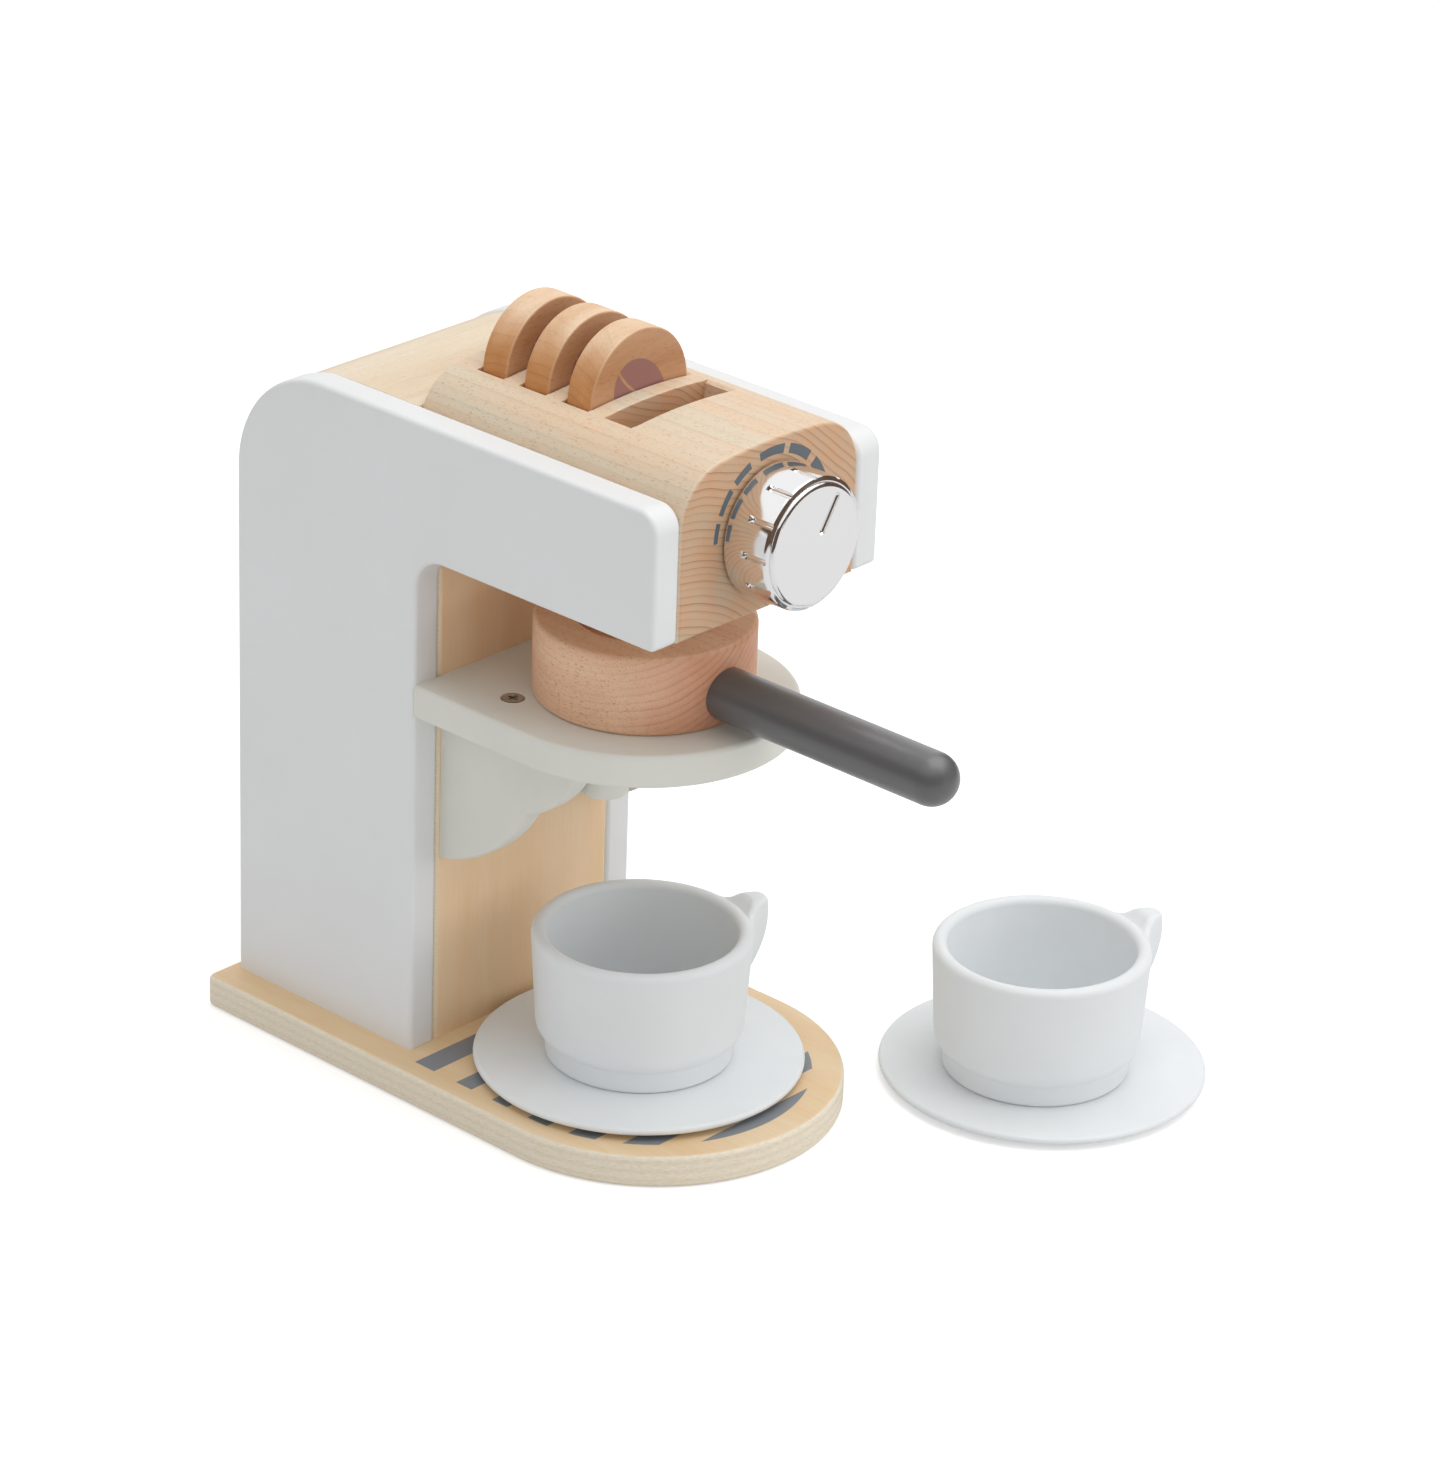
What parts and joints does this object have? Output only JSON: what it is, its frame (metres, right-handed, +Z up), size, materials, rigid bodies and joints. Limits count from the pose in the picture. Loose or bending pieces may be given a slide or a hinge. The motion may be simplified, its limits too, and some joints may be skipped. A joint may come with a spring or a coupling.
{
  "type": "toy coffee maker",
  "caption": "Wooden toy coffee maker with white side panels, a beech head block holding coffee pads, a turning chrome knob, a shelf with spouts, a portafilter, cups and saucers.",
  "frame": {"origin": "middle of the base board's footprint, on its underside", "axes": "+Z up, -Y towards the front with the knob and handle, +X to the viewer's right seen from the front"},
  "size_m": [0.2369, 0.2989, 0.2816],
  "materials": {
    "birch_ply": "clear satin lacquer on birch plywood",
    "beech": "clear satin lacquer on solid beech",
    "white_lacquer": "matt white lacquer on fibreboard",
    "grey_lacquer": "satin light grey lacquer on plywood",
    "dark_lacquer": "satin dark grey lacquer on a beech dowel",
    "cup_lacquer": "matt white lacquer on turned wood",
    "chrome": "chrome-plated ABS",
    "hub_plastic": "moulded black plastic",
    "screw_steel": "zinc-plated steel",
    "felt": "pressed felt"
  },
  "bodies": {
    "casing": {"base_board": "birch_ply", "left_side_panel": "white_lacquer", "right_side_panel": "white_lacquer", "head_block": "beech", "column_front_board": "birch_ply", "rear_cover": "birch_ply", "front_batten": "beech", "rear_batten": "beech", "cover_rail": "beech", "panel_dowels": "beech", "base_screws": "screw_steel", "knob_screw": "screw_steel", "knob_washer": "felt", "shelf": "grey_lacquer", "left_bracket": "grey_lacquer", "right_bracket": "grey_lacquer", "shelf_dowels": "beech", "shelf_screws": "screw_steel", "bracket_screws": "screw_steel", "spouts": "grey_lacquer"},
    "knob": {"knob_cap": "chrome", "knob_hub": "hub_plastic"},
    "portafilter": {"portafilter_bowl": "beech", "portafilter_handle": "dark_lacquer"},
    "pad_1": {"coffee_pad_1": "beech"},
    "pad_2": {"coffee_pad_2": "beech"},
    "pad_3": {"coffee_pad_3": "beech"},
    "first_saucer": {"saucer_1": "cup_lacquer"},
    "first_cup": {"cup_1": "cup_lacquer"},
    "second_saucer": {"saucer_2": "cup_lacquer"},
    "second_cup": {"cup_2": "cup_lacquer"}
  },
  "joints": [
    {"name": "knob_turn", "type": "hinge", "parent": "casing", "child": "knob", "pos_m": [0, -0.0893, 0.229], "axis": [0, -1, 0], "continuous": true},
    {"name": "portafilter_pull", "type": "slide", "parent": "casing", "child": "portafilter", "axis": [0, -1, 0], "range_m": [0, 0.11]},
    {"name": "pad_1_lift", "type": "slide", "parent": "casing", "child": "pad_1", "axis": [0, 0, 1], "range_m": [0, 0.05]},
    {"name": "pad_2_lift", "type": "slide", "parent": "casing", "child": "pad_2", "axis": [0, 0, 1], "range_m": [0, 0.05]},
    {"name": "pad_3_lift", "type": "slide", "parent": "casing", "child": "pad_3", "axis": [0, 0, 1], "range_m": [0, 0.05]},
    {"name": "first_saucer_pull", "type": "slide", "parent": "casing", "child": "first_saucer", "axis": [0, -1, 0], "range_m": [0, 0.055]},
    {"name": "first_cup_lift", "type": "slide", "parent": "first_saucer", "child": "first_cup", "axis": [0, 0, 1], "range_m": [0, 0.035]},
    {"name": "second_saucer_lift", "type": "slide", "parent": "casing", "child": "second_saucer", "axis": [0, 0, 1], "range_m": [0, 0.06]},
    {"name": "second_cup_lift", "type": "slide", "parent": "second_saucer", "child": "second_cup", "axis": [0, 0, 1], "range_m": [0, 0.045]}
  ]
}
